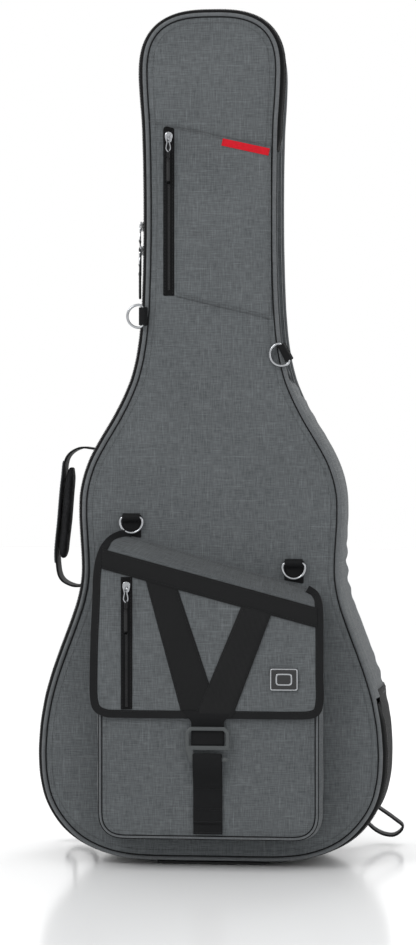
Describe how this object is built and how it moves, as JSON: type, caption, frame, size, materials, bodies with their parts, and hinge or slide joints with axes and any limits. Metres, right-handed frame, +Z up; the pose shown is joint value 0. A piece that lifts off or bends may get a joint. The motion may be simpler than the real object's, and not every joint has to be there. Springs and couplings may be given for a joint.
{
  "type": "padded guitar gig bag",
  "caption": "Padded upright gig bag for an acoustic guitar, with a zipped lid, a flapped front pocket, a neck pocket, a side handle and shoulder straps.",
  "frame": {"origin": "middle of the rubber base pad's underside", "axes": "+Z up towards the head, -Y out of the bag's front, +X to the viewer's right when looking at the front"},
  "size_m": [0.4812, 0.2762, 1.13],
  "materials": {
    "grey_cloth": "matte",
    "black_cloth": "matte",
    "black_webbing": "matte",
    "foam": "matte",
    "plush_lining": "matte",
    "rubber": "matte",
    "gunmetal": "gloss",
    "chrome_wire": "polished",
    "red_cloth": "matte",
    "black_plastic": "satin"
  },
  "bodies": {
    "shell": {"back_cloth": "grey_cloth", "back_foam": "foam", "back_lining": "plush_lining", "wall_cloth_zip_side": "grey_cloth", "wall_cloth_hinge_side": "grey_cloth", "base_guard": "black_cloth", "wall_foam_right": "foam", "wall_foam_left": "foam", "wall_lining": "plush_lining", "main_zip_shell_tape": "black_webbing", "base_pad": "rubber", "neck_cradle": "plush_lining", "neck_strap": "black_webbing", "end_pin_pad": "plush_lining", "back_pad": "black_cloth", "strap_yoke": "black_cloth", "strap_base_webbing": "black_webbing", "side_handle_patch": "black_webbing"},
    "main_zip_upper_slider": {"main_zip_upper_slider": "gunmetal"},
    "main_zip_upper_pull": {"main_zip_upper_pull": "rubber"},
    "main_zip_lower_slider": {"main_zip_lower_slider": "gunmetal"},
    "main_zip_lower_pull": {"main_zip_lower_pull": "rubber"},
    "side_handle": {"side_handle_webbing": "black_webbing", "side_handle_grip": "black_cloth"},
    "strap_right": {"shoulder_pad_right": "black_cloth", "strap_buckle_right": "black_plastic", "strap_webbing_right": "black_webbing"},
    "strap_left": {"shoulder_pad_left": "black_cloth", "strap_buckle_left": "black_plastic", "strap_webbing_left": "black_webbing"},
    "lid": {"lid_cloth": "grey_cloth", "lid_foam": "foam", "lid_lining": "plush_lining", "lid_piping": "grey_cloth", "main_zip_lid_tape": "black_webbing", "lid_hinge_cloth": "grey_cloth", "neck_pocket_panel": "grey_cloth", "neck_pocket_zip_tape": "black_webbing", "neck_tag": "red_cloth", "ring_tab_upper_left": "black_webbing", "ring_tab_upper_right": "black_webbing", "ring_tab_lower_left": "black_webbing", "ring_tab_lower_right": "black_webbing", "pocket_wall": "grey_cloth", "pocket_face": "grey_cloth", "closure_webbing": "black_webbing"},
    "ring_upper_left": {"ring_upper_left": "chrome_wire"},
    "ring_upper_right": {"ring_upper_right": "chrome_wire"},
    "ring_lower_left": {"ring_lower_left": "chrome_wire"},
    "ring_lower_right": {"ring_lower_right": "chrome_wire"},
    "neck_pocket_slider": {"neck_pocket_slider": "gunmetal"},
    "neck_pocket_pull": {"neck_pocket_pull": "rubber"},
    "flap_top": {"flap_strip": "grey_cloth"},
    "flap": {"flap_panel": "grey_cloth", "flap_webbing": "black_webbing", "flap_zip_tape": "black_webbing", "badge_plate": "gunmetal"},
    "flap_slider": {"flap_slider": "gunmetal"},
    "flap_pull": {"flap_pull": "rubber"},
    "hook": {"hook_buckle": "gunmetal"}
  },
  "joints": [
    {"name": "lid_hinge", "type": "hinge", "parent": "shell", "child": "lid", "pos_m": [0.162, -0.073, 0.6], "axis": [-0.1483, 0, 0.9889], "range_deg": [0, 105]},
    {"name": "flap_hinge", "type": "hinge", "parent": "lid", "child": "flap_top", "pos_m": [0, -0.0947, 0.40499], "axis": [-0.9659, 0, 0.2588], "range_deg": [0, 40]},
    {"name": "flap_fold", "type": "hinge", "parent": "flap_top", "child": "flap", "pos_m": [0, -0.1425, 0.38634], "axis": [-0.9659, 0, 0.2588], "range_deg": [0, 115]},
    {"name": "hook_swing", "type": "hinge", "parent": "flap", "child": "hook", "pos_m": [0, -0.145, 0.186], "axis": [-1, 0, 0], "range_deg": [0, 110]},
    {"name": "flap_zip_slide", "type": "slide", "parent": "flap", "child": "flap_slider", "axis": [0, 0, -1], "range_m": [0, 0.145]},
    {"name": "flap_pull_swing", "type": "hinge", "parent": "flap_slider", "child": "flap_pull", "pos_m": [-0.106, -0.1522, 0.366], "axis": [-1, 0, 0], "range_deg": [0, 150]},
    {"name": "neck_pocket_zip_slide", "type": "slide", "parent": "lid", "child": "neck_pocket_slider", "axis": [0, 0, -1], "range_m": [0, 0.19]},
    {"name": "neck_pocket_pull_swing", "type": "hinge", "parent": "neck_pocket_slider", "child": "neck_pocket_pull", "pos_m": [-0.0558, -0.1023, 0.957], "axis": [-1, 0, 0], "range_deg": [0, 150]},
    {"name": "main_zip_upper_slide", "type": "slide", "parent": "shell", "child": "main_zip_upper_slider", "axis": [-0.0157, 0, 0.9999], "range_m": [0, 0.13]},
    {"name": "main_zip_upper_pull_swing", "type": "hinge", "parent": "main_zip_upper_slider", "child": "main_zip_upper_pull", "pos_m": [-0.09715, -0.0767, 0.841], "axis": [0, 1, 0], "range_deg": [0, 150]},
    {"name": "main_zip_lower_slide", "type": "slide", "parent": "shell", "child": "main_zip_lower_slider", "axis": [-0.0366, 0, -0.9993], "range_m": [0, 0.028]},
    {"name": "main_zip_lower_pull_swing", "type": "hinge", "parent": "main_zip_lower_slider", "child": "main_zip_lower_pull", "pos_m": [-0.09715, -0.0677, 0.809], "axis": [0, 1, 0], "range_deg": [0, 150]},
    {"name": "ring_upper_left_swing", "type": "hinge", "parent": "lid", "child": "ring_upper_left", "pos_m": [-0.0905, -0.096, 0.726], "axis": [0, 0, 1], "range_deg": [-60, 120]},
    {"name": "ring_upper_right_swing", "type": "hinge", "parent": "lid", "child": "ring_upper_right", "pos_m": [0.0945, -0.097, 0.6745], "axis": [-0.4711, 0, 0.8821], "range_deg": [0, 150]},
    {"name": "ring_lower_left_swing", "type": "hinge", "parent": "lid", "child": "ring_lower_left", "pos_m": [-0.1055, -0.097, 0.46], "axis": [-1, 0, 0], "range_deg": [0, 150]},
    {"name": "ring_lower_right_swing", "type": "hinge", "parent": "lid", "child": "ring_lower_right", "pos_m": [0.1095, -0.097, 0.4005], "axis": [-1, 0, 0], "range_deg": [0, 150]},
    {"name": "side_handle_swing", "type": "hinge", "parent": "shell", "child": "side_handle", "pos_m": [-0.173, 0, 0.457], "axis": [0.0963, 0, 0.9954], "range_deg": [-15, 15]},
    {"name": "strap_right_swing", "type": "hinge", "parent": "shell", "child": "strap_right", "pos_m": [0.1205, 0.07567, 0.406], "axis": [-0.2264, -0.069, 0.9716], "range_deg": [-12, 12]},
    {"name": "strap_left_swing", "type": "hinge", "parent": "shell", "child": "strap_left", "pos_m": [-0.1205, 0.07567, 0.406], "axis": [0.2264, -0.069, 0.9716], "range_deg": [-12, 12]}
  ]
}
